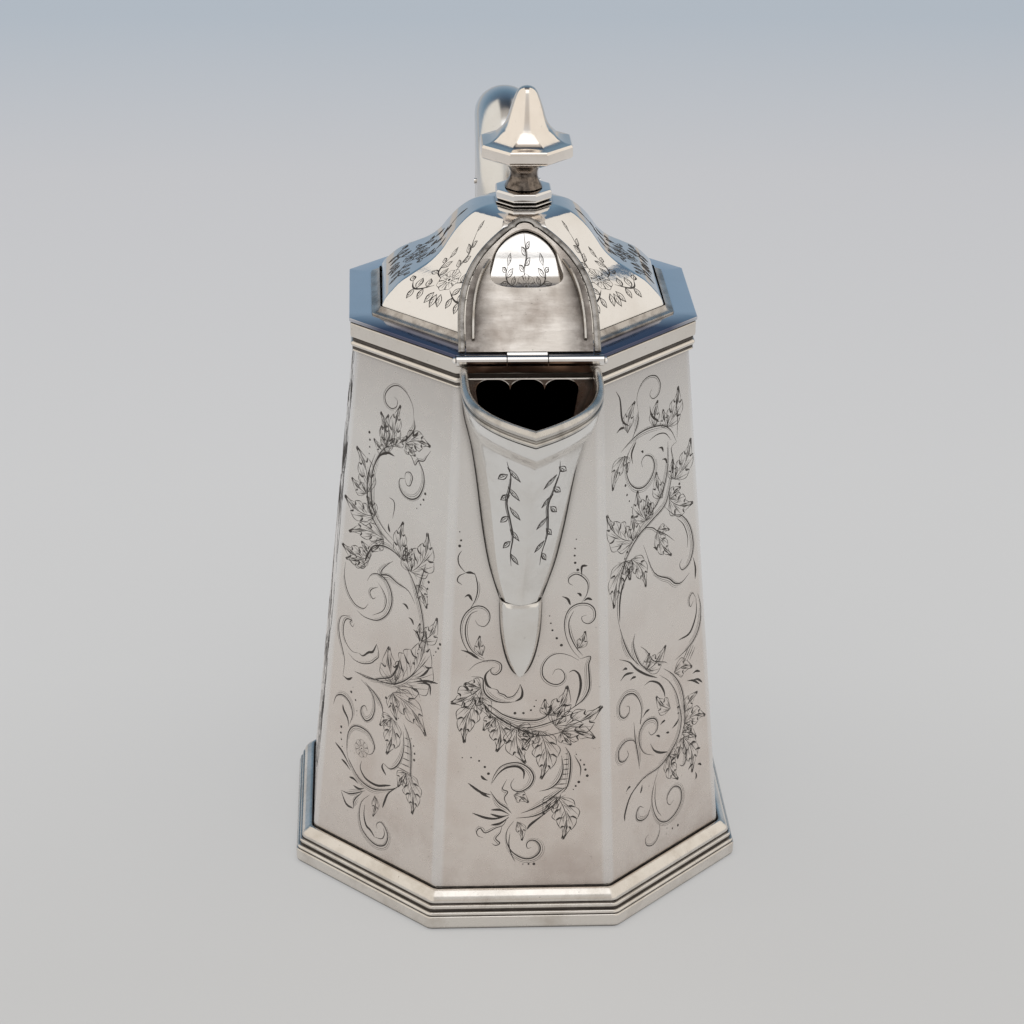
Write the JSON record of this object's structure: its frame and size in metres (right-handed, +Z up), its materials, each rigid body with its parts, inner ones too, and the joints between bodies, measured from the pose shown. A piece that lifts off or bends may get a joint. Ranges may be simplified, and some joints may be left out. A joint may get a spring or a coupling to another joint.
{
  "type": "coffee pot",
  "caption": "Tall tapered octagonal silver coffee pot with a domed hinged lid, urn finial, beak spout under a hinged flap, and hollow loop handle.",
  "frame": {"origin": "middle of the foot, on the plane that the foot stands on", "axes": "+Z up, +Y towards the handle, so the spout points along -Y; +X completes the right-handed frame"},
  "size_m": [0.138, 0.2292, 0.242],
  "materials": {
    "silver_body": "satin, slightly tarnished silver",
    "silver_bright": "polished silver",
    "silver_dark": "oxidised silver",
    "insulator": "ivory-coloured insulating block"
  },
  "bodies": {
    "pot": {"body_shell": "silver_body", "bottom_plate": "silver_body", "foot_moulding": "silver_bright", "rim_band": "silver_bright", "spout_shell": "silver_body", "spout_drop": "silver_body", "spout_lip": "silver_bright", "handle_upper_socket": "silver_bright", "handle_upper_insulator": "insulator", "handle_grip": "silver_bright", "handle_lower_insulator": "insulator", "handle_lower_socket": "silver_bright", "upper_socket_pin": "silver_bright", "upper_grip_pin": "silver_bright", "lower_grip_pin": "silver_bright", "lower_socket_pin": "silver_bright", "lid_hinge_left_knuckle": "silver_bright", "lid_hinge_right_knuckle": "silver_bright", "lid_hinge_pin": "silver_bright"},
    "lid": {"lid_flange": "silver_bright", "lid_bezel": "silver_body", "dome_step": "silver_bright", "lid_dome": "silver_bright", "finial_collar": "silver_bright", "finial_stem": "silver_dark", "finial_cap": "silver_bright", "finial_stud": "silver_body", "finial_nut": "silver_body", "lid_knuckle": "silver_bright", "flap_hinge_left_knuckle": "silver_bright", "flap_hinge_right_knuckle": "silver_bright", "flap_hinge_pin": "silver_bright"},
    "flap": {"flap_plate": "silver_body", "flap_frame": "silver_dark", "flap_left_tongue": "silver_bright", "flap_right_tongue": "silver_bright", "flap_knuckle": "silver_bright"}
  },
  "joints": [
    {"name": "lid_hinge", "type": "hinge", "parent": "pot", "child": "lid", "pos_m": [0, 0.0528, 0.1781], "axis": [-1, 0, 0], "range_deg": [0, 80]},
    {"name": "flap_hinge", "type": "hinge", "parent": "lid", "child": "flap", "pos_m": [0, -0.0527, 0.1779], "axis": [1, 0, 0], "range_deg": [0, 143.4]}
  ]
}
